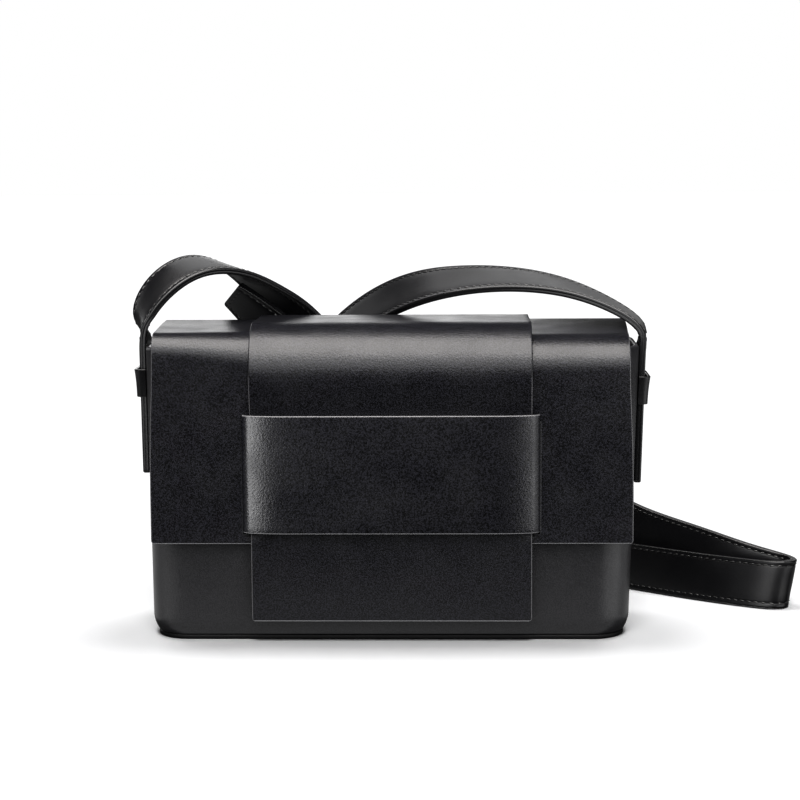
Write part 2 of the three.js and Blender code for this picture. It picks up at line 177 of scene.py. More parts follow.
def leather(name, dark, pale, rough, shine, grain_mm, grain_depth, edge_paint_and_highlight, edge_rough):
    """Principled leather: fine noise mixes a dark and a pale tint, slow noise shifts the roughness, fine
    noise and cells make the grain's bump over long waves, and the edge mark mixes in the edge's finish,
    whose tint is the edge paint and, where it is pale, partly painted highlight."""
    finish, tree, shader = principled(name)
    place = add(tree, "TexCoord", "Object")

    def noise(size_mm, detail):
        scale = 1.0 / (size_mm * MM)
        return add(tree, "TexNoise", "Fac", {"Vector": place, "Scale": scale, "Detail": detail})

    def spread(value, low, high, half_range=0.2):
        """Stretches noise's middle, half_range to each side of 0.5, to run from low to high."""
        middle = {"From Min": 0.5 - half_range, "From Max": 0.5 + half_range}
        return add(tree, "MapRange", "Result", {"Value": value, **middle, "To Min": low, "To Max": high})

    def blend(kind, share, first, second):
        """Mixes two colours or numbers by a share that varies over the surface."""
        a, b, output = MIX_SOCKETS[kind]
        return add(tree, "Mix", output, {0: share, a: first, b: second}, data_type=kind)

    def bump(height, depth_mm, strength, **under):
        """Tilts the surface by a height, over the bump that lies under it."""
        shape = {"Height": height, "Distance": depth_mm * MM, "Strength": strength}
        return add(tree, "Bump", "Normal", {**shape, **under})

    edge = add(tree, "Attribute", "Fac", attribute_name="edge")
    specks = noise(grain_mm, 1)
    tint = blend("RGBA", spread(specks, 0.0, 1.0, SPECK_RANGE), (*dark, 1), (*pale, 1))
    gloss = spread(noise(GLOSS_PATCH, 4), rough - GLOSS_SHIFT, rough + GLOSS_SHIFT)
    cell_scale = 1.0 / (CELL_SIZE * grain_mm * MM)
    cells = add(tree, "TexVoronoi", "Distance", {"Vector": place, "Scale": cell_scale}, feature="SMOOTH_F1")
    grain = blend("FLOAT", noise(grain_mm * GRAIN_PATCH, 2), cells, specks)
    waves = bump(noise(WAVE_LENGTH, 1), WAVE_DEPTH, WAVE_STRENGTH)
    fill(tree, shader, {
        "Base Color": blend("RGBA", edge, tint, (*edge_paint_and_highlight, 1)),
        "Roughness": blend("FLOAT", edge, gloss, edge_rough),
        "Normal": bump(grain, grain_depth, 1.0, Normal=waves),
        "Specular IOR Level": shine,
    })
    return finish


# %% Four leathers
# The pale edge tint of the grained leather is partly edge paint and partly painted highlight.
grained = leather("grained_leather", (0.0001, 0.0001, 0.0004), (0.0092, 0.0093, 0.0122),
                  rough=0.34, shine=0.33, grain_mm=0.6, grain_depth=0.12,
                  edge_paint_and_highlight=(0.15, 0.15, 0.155), edge_rough=0.36)
moulded = leather("moulded_leather", (0.0040, 0.0040, 0.0048), (0.0130, 0.0130, 0.0146),
                  rough=0.38, shine=0.42, grain_mm=0.5, grain_depth=0.05,
                  edge_paint_and_highlight=(0.02, 0.02, 0.022), edge_rough=0.3)
satin = leather("satin_strap_leather", (0.0012, 0.0012, 0.0016), (0.0034, 0.0034, 0.0042),
                rough=0.34, shine=0.4, grain_mm=0.5, grain_depth=0.03,
                edge_paint_and_highlight=(0.003, 0.003, 0.0035), edge_rough=0.26)
sole = leather("sole_leather", (0.0008, 0.0008, 0.0010), (0.0020, 0.0020, 0.0024),
               rough=0.5, shine=0.2, grain_mm=0.5, grain_depth=0.04,
               edge_paint_and_highlight=(0.002, 0.002, 0.0024), edge_rough=0.5)
print("leathers:", grained.name, moulded.name, satin.name, sole.name)

# %% [markdown]
# ## The thread
# The strap is sewn with black waxed thread. It is about as dark as the leather but glossier, so the
# stitches read as dark dashes on the strap's grey shine, with small glints where they catch a light. Plain
# black would do from afar. Here a fine twist, as a bump and as a change of tint, breaks the glints up.

# %% Thread finish
TWIST_MM, TWIST_DEPTH, THREAD_DARK, THREAD_PALE = 0.4, 0.08, 0.003, 0.012
thread, tree, shader = principled("waxed_thread")
place = add(tree, "TexCoord", "Object")
twist = add(tree, "TexNoise", "Fac", {"Vector": place, "Scale": 1.0 / (TWIST_MM * MM)})
tints = {"To Min": THREAD_DARK, "To Max": THREAD_PALE}
fill(tree, shader, {
    "Base Color": add(tree, "MapRange", "Result", {"Value": twist, **tints}),
    "Normal": add(tree, "Bump", "Normal", {"Height": twist, "Distance": TWIST_DEPTH * MM}),
    "Roughness": 0.3,
    "Specular IOR Level": 0.6,
})
print("thread:", thread.name)

# %% [markdown]
# ## The moulded body
# The body is a box of leather pressed over a mould: rounded upright corners, a rounded heel at the
# bottom, and side walls that lean out towards the rim. Its rim is a hem turned inwards, and in front it
# gives way under the flap's bend. It could be a subdivided cube, but a stack of rounded rectangles is
# exact: each is given by its height and by how far it is drawn in, first up the outside, then over the
# hem, then down the inside to the floor.

# %% Rounded outlines of the body
GAP = 0.3
SHELL_HALF_DEPTH, SHELL_MIDDLE_Y, SHELL_CORNER = 32.0, 0.9, 18.0
SHELL_FOOT, SHELL_WALL, SHELL_RIM = 2.5, 2.0, 135.0
HEEL_TOP, HEEL_RADIUS = 10.5, 14.0
HALF_WIDTH, RIM_HALF_WIDTH, FOOT_SHIFT = 111.0, 113.5, -1.4
HEM_THICK, HEM_HEIGHT, HEM_ROUND, HEM_STEP, HEEL_CLEAR, RIM_CLEAR = 3.2, 6.0, 0.4, 0.1, 4.0, 2.0
BEND_MIDDLE, BEND_INSIDE = (-15.0, 122.3), 17.6


def wall_at(z):
    """Half the body's width: constant up to the heel's top, then straight out to the rim."""
    slope = (RIM_HALF_WIDTH - HALF_WIDTH) / (SHELL_RIM - HEEL_TOP)
    return HALF_WIDTH + slope * np.maximum(z - HEEL_TOP, 0)


def middle_at(z):
    """The body's middle: a little to the left at its foot, and in the flap's middle at the rim."""
    return FOOT_SHIFT * (1 - z / SHELL_RIM)


def wall_x(side, z):
    """Where the outside of the left (-1) or right (1) wall stands at a height."""
    return middle_at(z) + side * wall_at(z)


def rounded_outlines(z, inset, corner_steps=16, straight_steps=10):
    """Rounded rectangles about the body's middle, one for each height and inset: each corner is an arc,
    each side a straight run, starting at the middle of the right side and going anticlockwise."""
    z, inset = np.broadcast_arrays(np.asarray(z, float), np.asarray(inset, float))
    quarter = np.linspace(0, np.pi / 2, corner_steps + 1)
    run = (np.arange(straight_steps) + 0.5) / straight_steps
    zero, one = np.zeros(straight_steps), np.ones(straight_steps)

    def all_round(values, left, front):
        """One quarter's values mirrored to the left and then to the front, with a sign for each."""
        half = np.concatenate([values, left * values[::-1]])
        return np.concatenate([half, front * half[::-1]])

    # the share of each straight side, and the direction round the corner
    share_x = all_round(np.concatenate([one, np.ones_like(quarter), run[::-1]]), -1, 1)
    share_y = all_round(np.concatenate([run, np.ones_like(quarter), one]), 1, -1)
    turn_x = all_round(np.concatenate([one, np.cos(quarter), zero]), -1, 1)
    turn_y = all_round(np.concatenate([zero, np.sin(quarter), one]), 1, -1)
    radius = (SHELL_CORNER - inset)[:, None]
    straight_x = wall_at(z)[:, None] - inset[:, None] - radius
    straight_y = SHELL_HALF_DEPTH - inset[:, None] - radius
    x = middle_at(z)[:, None] + straight_x * share_x + radius * turn_x
    y = SHELL_MIDDLE_Y + straight_y * share_y + radius * turn_y
    return np.stack([x, y, np.broadcast_to(z[:, None], x.shape)], -1)


def heel(foot, wall, steps=13):
    """Heights and insets of the heel: an arc that draws the wall in below the heel's top."""
    drop = (HEEL_TOP - foot) * np.cos(np.linspace(0, np.pi / 2, steps))
    return HEEL_TOP - drop, wall + HEEL_RADIUS - np.sqrt(HEEL_RADIUS ** 2 - drop ** 2)


# %% Body shell
outer_z, outer_in = heel(SHELL_FOOT, 0.0)
inner_z, inner_in = heel(SHELL_FOOT + SHELL_WALL, SHELL_WALL)
roll = np.linspace(0, np.pi, 11)
rim_radius = HEM_THICK / 2
wall_z = np.linspace(HEEL_TOP + HEEL_CLEAR, SHELL_RIM - rim_radius - RIM_CLEAR, 24)
hem_foot = SHELL_RIM - HEM_HEIGHT
body_z = np.concatenate([outer_z, wall_z, SHELL_RIM - rim_radius + rim_radius * np.sin(roll),
                         [hem_foot + HEM_ROUND, hem_foot, hem_foot - HEM_STEP], inner_z[::-1]])
body_in = np.concatenate([outer_in, 0 * wall_z, rim_radius * (1 - np.cos(roll)),
                          [HEM_THICK, HEM_THICK - HEM_ROUND, SHELL_WALL], inner_in[::-1]])
body_edge = np.concatenate([0 * outer_z, 0 * wall_z, np.sin(roll) ** 2, [0, 0, 0], 0 * inner_z])
body_rows = rounded_outlines(body_z, body_in)
# the front of the rim stays inside the flap's bend, an arc about BEND_MIDDLE
ahead = np.maximum(BEND_MIDDLE[0] - body_rows[..., 1], 0)
ceiling = BEND_MIDDLE[1] + np.sqrt(np.maximum(BEND_INSIDE ** 2 - ahead ** 2, 0))
body_rows[..., 2] = np.minimum(body_rows[..., 2], ceiling)
make_piece("body_shell_leather", body_rows, moulded, "moulded_leather", "body_shell",
           edge=body_edge[:, None])

# %% [markdown]
# ## The sole
# A thin plate of stiff, dull leather closes the body below, with a fine dark groove between the two. It
# has the outline of the heel's foot and a rounded edge, so it uses the same rounded rectangles.

# %% Base panel
BASE_THICK, BASE_ROUND = 2.2, 0.7
bend = np.linspace(0, np.pi / 2, 6)
lifted, drawn_in = BASE_ROUND * (1 - np.cos(bend)), BASE_ROUND * (1 - np.sin(bend))
base_z = np.concatenate([lifted, BASE_THICK - lifted[::-1]])
base_in = outer_in[0] + np.concatenate([drawn_in, drawn_in[::-1]])
base_rows = rounded_outlines(base_z, base_in)
make_piece("base_panel_leather", base_rows, sole, "moulded_leather", "base_panel")

# %% [markdown]
# ## Bent sheets
# The flap, the tongue, the band, the loops and the keeper are all cut from sheet leather and bent. Each
# is a thin flat section with rounded arrises, carried along the line that the sheet's middle follows.
# Solidify on a bent plane would do too, but its edges would be sharp, and rounded edges are what the light
# picks out on this bag. The section's width may change along the line, which rounds the sheet's corners.

# %% A sheet carried along a line
def lengths_along(line):
    """How far along the line each of its points lies: the running sum of its steps."""
    return np.concatenate([[0], np.cumsum(np.linalg.norm(np.diff(line, axis=0), axis=1))])


def spaced(rows, places):
    """Rows of a table at places measured along the line that its first three columns give."""
    along = lengths_along(rows[:, :3])
    return np.stack([np.interp(places, along, column) for column in rows.T], -1)


def line_length(line):
    """The sum of the line's steps."""
    return lengths_along(line)[-1]


def eased(distance, radius):
    """How far a quarter circle draws in at a distance from its end, and nothing beyond its radius."""
    return radius - np.sqrt(np.maximum(radius ** 2 - np.clip(radius - distance, 0, radius) ** 2, 0))


def sheet_section(columns, thick, arris, steps=4):
    """The upper half of a flat section from its right edge to its left: the share of the flat's half
    width, what is added to it round the arris, the height above the middle, and the cut edge's mark."""
    angle = np.linspace(0, np.pi / 2, steps, endpoint=False)
    share = np.concatenate([np.ones(steps), columns[::-1], -np.ones(steps)])
    added = np.concatenate([arris * np.cos(angle), 0 * columns, -arris * np.cos(angle[::-1])])
    rise = np.concatenate([arris * np.sin(angle), 0 * columns + arris, arris * np.sin(angle[::-1])])
    mark = np.concatenate([np.ones(steps), 0 * columns, np.ones(steps)])
    return share, added, thick / 2 - arris + rise, mark


def across_and_out(along, across):
    """A travelling frame's other axes: across made square to along, and out = along x across."""
    across = unit(across - (across * along).sum(-1, keepdims=True) * along)
    return across, np.cross(along, across)


def smooth(x):
    """An even rise from 0 to 1: x x (3 - 2 x), held at its ends."""
    x = np.clip(x, 0, 1)
    return x * x * (3 - 2 * x)


PULL_START = 0.7


def carry(section, line, across, half_width, arris, thin=0.0, lift=None, pull=0.0):
    """Points of a section carried along a line: across by share x flat + added, and out by its height.
    thin is the share by which the height shrinks on each row, lift gives how far a point of both faces
    moves out, from its place across and its row's middle, and pull draws the sheet's sides inwards."""
    share, added, height, mark = (np.concatenate([half, half[::-1]]) for half in section)
    height = height * np.repeat([1, -1], len(height) // 2)
    across, out = across_and_out(unit(np.gradient(line, axis=0)), np.array(across))
    flat = np.broadcast_to(half_width, len(line))[:, None] - arris
    inwards = np.sign(share) * np.clip((np.abs(share) - PULL_START) / (1 - PULL_START), 0, 1)
    u = flat * share + added - np.broadcast_to(pull, len(line))[:, None] * inwards
    v = height * (1 - np.broadcast_to(thin, len(line))[:, None])
    if lift is not None:
        v = v + lift(u, line)
    return line[:, None] + across[:, None] * u[..., None] + out[:, None] * v[..., None], mark


# %% Ends and edges of a sheet
# The ends' larger share of the pale edge tint is painted highlight, for light they catch from the floor.
SIDE_PAINT_AND_HIGHLIGHT, END_PAINTED_HIGHLIGHT = 0.3, 0.65


def end_places(length, step, *radii):
    """Places along a line: even steps, and closer ones where quarter circles of these radii round it."""
    turn = 1 - np.cos(np.linspace(0, np.pi / 2, 7))
    near = np.concatenate([radius * turn for radius in radii])
    margin = 1.3 * max(radii)
    places = np.concatenate([near, length - near, np.arange(margin, length - margin, step)])
    return np.unique(np.round(places, 4))


def end_shares(places, length, thick, arris, corner=0.0):
    """For places along a sheet: the distance from the nearer end, how far a round corner narrows the sheet
    on each side there, and the share by which the end's round edge thins it."""
    from_end = np.minimum(places, length - places)
    return from_end, eased(from_end, corner), eased(from_end, arris) / (thick / 2)


def edge_marks(mark, from_end, arris, side=SIDE_PAINT_AND_HIGHLIGHT, end=END_PAINTED_HIGHLIGHT):
    """How much of the pale edge tint shows: one share along the sides, and a larger one at the ends, as
    painted highlight.
    """
    return np.maximum(side * mark, end * (from_end < arris)[:, None])


# %% [markdown]
# ## Lines in a plane
# A bent sheet's middle line is made of straight runs, quarter circles and smooth curves. Each helper
# returns a row of points in the plane, and the rows are joined end to end.

# %% Straight runs, arcs and curves
def straight(start, end, count=20):
    """Even points from start to end."""
    return np.linspace(start, end, count)


def arc(centre, radius, first, last, count=40):
    """Points at centre + radius x (cos, sin) from the first angle to the last, in degrees."""
    angle = np.radians(np.linspace(first, last, count))
    return np.array(centre) + radius * np.stack([np.cos(angle), np.sin(angle)], -1)


def curve(a, b, c, d, count=60):
    """Cubic curve from a to d that leaves towards b and arrives from c."""
    t = np.linspace(0, 1, count)[:, None]
    a, b, c, d = (np.array(point) for point in (a, b, c, d))
    return (1 - t) ** 3 * a + 3 * t * (1 - t) ** 2 * b + 3 * t * t * (1 - t) * c + t ** 3 * d


def joined(*parts):
    """The parts one after another, without the repeated points."""
    line = np.concatenate(parts).astype(float)
    keep = np.concatenate([[True], np.linalg.norm(np.diff(line, axis=0), axis=1) > 1e-6])
    return line[keep]


def in_plane(line, first, second):
    """A plane line as points in space, its two numbers along the axes named first and second."""
    points = np.zeros((len(line), 3))
    points[:, first], points[:, second] = line[:, 0], line[:, 1]
    return points


# %% [markdown]
# ## The flap
# The flap starts on the back, goes over the top round two bends and hangs over the front. Its front bend
# is tight at the left end and softer from there on, its right shoulder sags a little, and the laced band
# presses it back beside two upright slits, which take the band's ends. A boolean could cut the slits, but
# rows and columns of the sheet's own grid lie along their borders, so the faces inside are left out and
# short flat walls join the two sides.

# %% Flap's line and press
FLAP_WIDTH, FLAP_FACE, FLAP_TOP, FLAP_THICK = 220.0, 35.0, 142.3, 1.8
FLAP_FRONT_EDGE, FLAP_BACK_EDGE, FLAP_BACK_BEND, TOP_RISE = 46.0, 58.0, 7.5, 0.8
BAND_BOTTOM, BAND_TOP, SLIT_INNER, SLIT_OUTER, SLIT_SLACK = 51.5, 105.6, 65.6, 67.7, 0.5
PRESS_DEPTH, PRESS_START, PRESS_REACH, PRESS_FADE = 0.8, 41.0, 23.0, 5.0
half = FLAP_THICK / 2
front, back, top = -FLAP_FACE + half, FLAP_FACE - half, FLAP_TOP - half


def flap_middle(front_bend):
    """The flap's middle line with a front bend of this outer radius: up the front, over the top and down
    the back."""
    near, far = front_bend - half, FLAP_BACK_BEND - half
    return in_plane(joined(
        straight((front, FLAP_FRONT_EDGE), (front, top - near)),
        arc((front + near, top - near), near, 180, 90),
        straight((front + near, top), (back - far, top + TOP_RISE)),
        arc((back - far, top + TOP_RISE - far), far, 90, 0),
        straight((back, top + TOP_RISE - far), (back, FLAP_BACK_EDGE)),
    ), 1, 2)


def pressed(u, line):
    """How far the laced band draws the layers in front of the body back: most beside the slits, between
    the band's two edges, fading out over a short way above and below it and towards the middle."""
    z = line[:, 2:3]
    outside = np.maximum(np.maximum(BAND_BOTTOM - z, z - BAND_TOP), 0)
    inner = np.abs(u) < (SLIT_INNER + SLIT_OUTER) / 2
    beside = np.clip((np.abs(u) - PRESS_START) / PRESS_REACH, 0, 1) ** 2 * inner
    return -PRESS_DEPTH * beside * smooth(1 - outside / PRESS_FADE) * (line[:, 1:2] < 0)


# %% Flap's rows
FLAP_TIGHT_BEND, FLAP_SOFT_BEND, SOFT_REACH = 9.5, 15.5, 70.0
FLAP_CORNER, FLAP_STEP, ARRIS, ROW_CLEAR, COLUMN_CLEAR = 1.6, 1.4, 0.55, 0.6, 0.004
FLAP_WAIST, WAIST_REACH = 1.8, 38.0
FLAP_SAG, SAG_SIDE, SAG_BACK, SAG_DEPTH, SAG_FOOT, SAG_RISE = 1.7, 60.0, 25.0, 50.0, 105.0, 28.0
tight_line, soft_line = flap_middle(FLAP_TIGHT_BEND), flap_middle(FLAP_SOFT_BEND)
flap_length = line_length(tight_line)
slit_ends = np.array([BAND_BOTTOM - SLIT_SLACK, BAND_TOP + SLIT_SLACK]) - FLAP_FRONT_EDGE
places = end_places(flap_length, FLAP_STEP, ARRIS, FLAP_CORNER)
places = places[np.abs(places[:, None] - slit_ends).min(1) > ROW_CLEAR]
places = np.unique(np.concatenate([places, slit_ends]))
soft_places = np.interp(places, lengths_along(tight_line), lengths_along(soft_line))
slit_shares = np.array([SLIT_INNER, SLIT_OUTER]) / (FLAP_WIDTH / 2 - ARRIS)
columns = np.linspace(-1, 1, 81)
columns = columns[np.abs(np.abs(columns)[:, None] - slit_shares).min(1) > COLUMN_CLEAR]
columns = np.sort(np.concatenate([columns, slit_shares, -slit_shares]))
from_end, narrowed, thin = end_shares(places, flap_length, FLAP_THICK, ARRIS, FLAP_CORNER)
waist_place = top - FLAP_TIGHT_BEND / 2 - FLAP_FRONT_EDGE
waist = FLAP_WAIST * np.exp(-((places - waist_place) / WAIST_REACH) ** 2)
section = sheet_section(columns, FLAP_THICK, ARRIS)
tight_rows, soft_rows = (
    carry(section, line, [-1.0, 0, 0], FLAP_WIDTH / 2 - narrowed, ARRIS, thin, pressed, waist)[0]
    for line in (spaced(tight_line, places), spaced(soft_line, soft_places)))
softness = smooth((tight_rows[..., :1] + FLAP_WIDTH / 2) / SOFT_REACH)
flap_rows = tight_rows + softness * (soft_rows - tight_rows)
flap_x, flap_y, flap_z = np.moveaxis(flap_rows, -1, 0)
sag = smooth(flap_x / SAG_SIDE) * smooth((SAG_BACK - flap_y) / SAG_DEPTH)
flap_rows[..., 2] -= FLAP_SAG * sag * smooth((flap_z - SAG_FOOT) / SAG_RISE)
flap_mark = edge_marks(np.concatenate([section[3], section[3][::-1]]), from_end, ARRIS)
print("flap length over its bends", round(flap_length, 1), "mm")


# %% Slits in the flap
def cut_slits(faces, count, rows, columns_of_slits):
    """Leaves out the faces inside each slit on both sides, and adds walls: each joins two neighbours on the
    slit's border, a and b, to the points behind them, at row x count + (count - 1 - column)."""
    first, last = rows
    grid = len(faces) - 2 * (count // 2 - 1)
    row, column = np.divmod(np.arange(grid), count)
    inside, borders = np.zeros(len(faces), bool), []
    for left, right in columns_of_slits:
        upper = (column >= left) & (column < right)
        lower = (column >= count - 1 - right) & (column < count - 1 - left)
        inside[:grid] |= (upper | lower) & (row >= first) & (row < last)
        r, c = np.arange(first, last) * count, np.arange(left, right)
        borders += [(r + left, r + count + left), (r + count + right, r + right),
                    (first * count + c + 1, first * count + c), (last * count + c, last * count + c + 1)]
    a, b = (np.concatenate(points) for points in zip(*borders))
    behind_a, behind_b = (points + count - 1 - 2 * (points % count) for points in (a, b))
    walls = np.stack([a, b, behind_b, behind_a], -1)
    return np.concatenate([faces[~inside], walls]), len(walls)


def nearest(values, wanted):
    """The number of the value that lies nearest to the wanted one."""
    return int(np.abs(values - wanted).argmin())


slit_columns = [tuple(sorted(nearest(section[0], side * share) for share in slit_shares))
                for side in (1, -1)]
slit_rows = tuple(nearest(places, end) for end in slit_ends)
row_count, count = flap_rows.shape[:2]
flap_faces, wall_count = cut_slits(loft_faces(row_count, count), count, slit_rows, slit_columns)
make_piece("flap_leather", flap_rows, grained, "flap_leather", "flap", edge=flap_mark, faces=flap_faces,
           flat=wall_count)
print("slits at rows", slit_rows, "columns", slit_columns)

# %% [markdown]
# ## The tongue
# The tongue is the upright strip of the weave. It climbs the back, crosses the top with a low crown and
# falls over the front in a softer, fuller bend than the flap's, because it lies loose there, before the
# band presses it flat. The same carried section makes it. Its sides take the pale edge tint below the
# bend only, and its ends more of it, partly as painted highlight. Near the bend the side tint fades out:
# that is painted shade, for the dark gap where the tongue stands off the flap.

# %% Tongue
TONGUE_WIDTH, TONGUE_THICK, TONGUE_FRONT_EDGE, TONGUE_BACK_EDGE = 128.0, 1.8, 10.4, 78.0
TONGUE_CROWN, TONGUE_BULGE, TONGUE_BEND, TONGUE_CORNER, TONGUE_STEP = 1.5, 1.8, 22.0, 1.6, 1.6
TOP_PULL, CREST_PULL, BULGE_PULL, TOUCH_PULL, TOUCH_DEPTH = 17.5, 10.0, 6.0, 7.0, 1.0
# Near the bend the sides' pale tint fades out as painted shade; the ends take more as painted highlight.
GAP_SHADE_TOP, GAP_SHADE_FADE, TONGUE_END_HIGHLIGHT = 127.0, 10.0, 0.8
stand = FLAP_FACE + GAP + TONGUE_THICK / 2
tongue_top = FLAP_TOP + GAP + TONGUE_THICK / 2
crest, proud, risen = tongue_top + TONGUE_CROWN, -stand - TONGUE_BULGE, tongue_top + TOP_RISE
back_bend = FLAP_BACK_BEND + GAP + TONGUE_THICK / 2
turned, bent, touch = stand - back_bend, crest - TONGUE_BEND, BAND_TOP - TOUCH_DEPTH
crest_y = proud + TONGUE_BEND
tongue_line = in_plane(joined(
    straight((stand, TONGUE_BACK_EDGE), (stand, risen - back_bend)),
    arc((turned, risen - back_bend), back_bend, 0, 90),
    curve((turned, risen), (turned - TOP_PULL, risen), (crest_y + CREST_PULL, crest), (crest_y, crest)),
    arc((crest_y, bent), TONGUE_BEND, 90, 180),
    curve((proud, bent), (proud, bent - BULGE_PULL), (-stand, touch + TOUCH_PULL), (-stand, touch)),
    straight((-stand, touch), (-stand, TONGUE_FRONT_EDGE)),
), 1, 2)
tongue_length = line_length(tongue_line)
places = end_places(tongue_length, TONGUE_STEP, ARRIS, TONGUE_CORNER)
from_end, narrowed, thin = end_shares(places, tongue_length, TONGUE_THICK, ARRIS, TONGUE_CORNER)
tongue_path = spaced(tongue_line, places)
tongue_section = sheet_section(np.linspace(-1, 1, 61), TONGUE_THICK, ARRIS)
tongue_rows, tongue_mark = carry(tongue_section, tongue_path, [1.0, 0, 0], TONGUE_WIDTH / 2 - narrowed,
                                 ARRIS, thin, pressed)
# Painted shade: no pale tint on the sides near the bend, where the tongue stands off the flap.
side_highlight_and_shade = SIDE_PAINT_AND_HIGHLIGHT * smooth((GAP_SHADE_TOP - tongue_path[:, 2:]) / GAP_SHADE_FADE)
tongue_edge = edge_marks(tongue_mark, from_end, ARRIS, side_highlight_and_shade, TONGUE_END_HIGHLIGHT)
make_piece("tongue_leather", tongue_rows, grained, "flap_leather", "tongue", edge=tongue_edge)
print("tongue length over its bends", round(tongue_length, 1), "mm")

# %% [markdown]
# ## The cross band
# The band is the level strip of the weave. It bows a little as it crosses the tongue, rolls round at each
# end and dives through a slit, and its ends lie flat behind the flap. Its line lies in the level plane.
# Its upper edge, which the light from above brightens, takes half the pale edge tint; its lower edge
# takes all of it, partly as painted highlight for the light that it catches from the floor.

# %% Band
BAND_THICK, BAND_HALF_LENGTH, BAND_SLACK, BAND_BOW, BAND_ROLL = 1.5, 82.0, 0.25, 1.3, 63.2
TAIL_START, SLIT_PLAY, BAND_ARRIS, BAND_STEP, UPPER_HIGHLIGHT_SHARE = 69.3, 0.05, 0.55, 0.5, 0.5
ROLL_PULL, DIVE_PULL, DIVE_END, TURN_START, TURN_PULL, TAIL_PULL = (2.2, 0.5), 4.0, 2.2, 1.75, 0.75, 1.5
dive = SLIT_OUTER - BAND_THICK / 2 - SLIT_PLAY
tail_y = -FLAP_FACE + FLAP_THICK + GAP + BAND_THICK / 2
band_touch = -(FLAP_FACE + GAP + TONGUE_THICK + GAP + BAND_THICK / 2) - BAND_SLACK
over = np.linspace(0, BAND_ROLL, 80)
sunk = np.clip((over - PRESS_START) / PRESS_REACH, 0, 1) ** 3
over_y = band_touch - BAND_BOW + (BAND_BOW + PRESS_DEPTH) * sunk
roll_end = np.array([BAND_ROLL, over_y[-1]])
half_band = joined(
    np.stack([over, over_y], -1),
    curve(roll_end, roll_end + ROLL_PULL, (dive, tail_y - DIVE_PULL), (dive, tail_y - DIVE_END)),
    curve((dive, tail_y - TURN_START), (dive, tail_y - TURN_PULL),
          (TAIL_START - TAIL_PULL, tail_y), (TAIL_START, tail_y)),
    straight((TAIL_START, tail_y), (BAND_HALF_LENGTH, tail_y)),
)
band_line = in_plane(joined(half_band[::-1] * [-1, 1], half_band), 0, 1)
band_line[:, 2] = (BAND_BOTTOM + BAND_TOP) / 2
band_length = line_length(band_line)
places = end_places(band_length, BAND_STEP, BAND_ARRIS)
thin = end_shares(places, band_length, BAND_THICK, BAND_ARRIS)[2]
band_section = sheet_section(np.linspace(-1, 1, 21), BAND_THICK, BAND_ARRIS)
band_rows, band_mark = carry(band_section, spaced(band_line, places), [0, 0, 1.0],
                             (BAND_TOP - BAND_BOTTOM) / 2, BAND_ARRIS, thin)
# Painted highlight: the band's lower edge takes the full pale tint, its upper edge only part of it.
upper = np.concatenate([band_section[0], band_section[0][::-1]]) > 0
band_edge = band_mark * np.where(upper, UPPER_HIGHLIGHT_SHARE, 1.0)
band = make_piece("band_leather", band_rows, grained, "flap_leather", "band", edge=band_edge)
print("band length", round(band_length, 1), "mm")

# %% [markdown]
# ## The strap's routes
# The strap is one long loop of leather in two pieces. A table of rows guides each piece: the middle of the
# strap, and the direction across it from its near edge to its rear edge, so that it can twist. A smooth
# curve that is pulled towards each row, a cubic B-spline, runs along the table. Its ends lie flat on the
# side walls, and behind the bag both pieces lie on one slanted line, where a keeper holds them.

# %% Rows on the walls and behind the bag
STRAP_WIDTH, STRAP_THICK, OVERLAP_STEP = 23.0, 3.3, 20.0
KEEPER_CENTRE = np.array([25.0, 61.0, 73.5])
KEEPER_ALONG = unit(np.array([-0.86, -0.29, 0.42]))
KEEPER_OUT = unit(np.array([KEEPER_ALONG[1], -KEEPER_ALONG[0], 0.0]))
KEEPER_ACROSS = np.cross(KEEPER_OUT, KEEPER_ALONG)


def tail_rows(side, levels):
    """Rows flat on a side wall, one for each level, half a thickness and a gap out from it."""
    levels = np.array(levels, float)
    x = wall_x(side, levels) + side * (GAP + STRAP_THICK / 2)
    return np.stack([x, 0 * x, levels, 0 * x, 0 * x + 1, 0 * x], -1)


def overlap_rows(steps, behind, upwards):
    """Rows on the keeper's slanted line: centre + overlap step x step along it + a depth behind it."""
    points = KEEPER_CENTRE + np.outer(steps, OVERLAP_STEP * KEEPER_ALONG) + behind * KEEPER_OUT
    return np.concatenate([points, np.broadcast_to(upwards * KEEPER_ACROSS, points.shape)], 1)


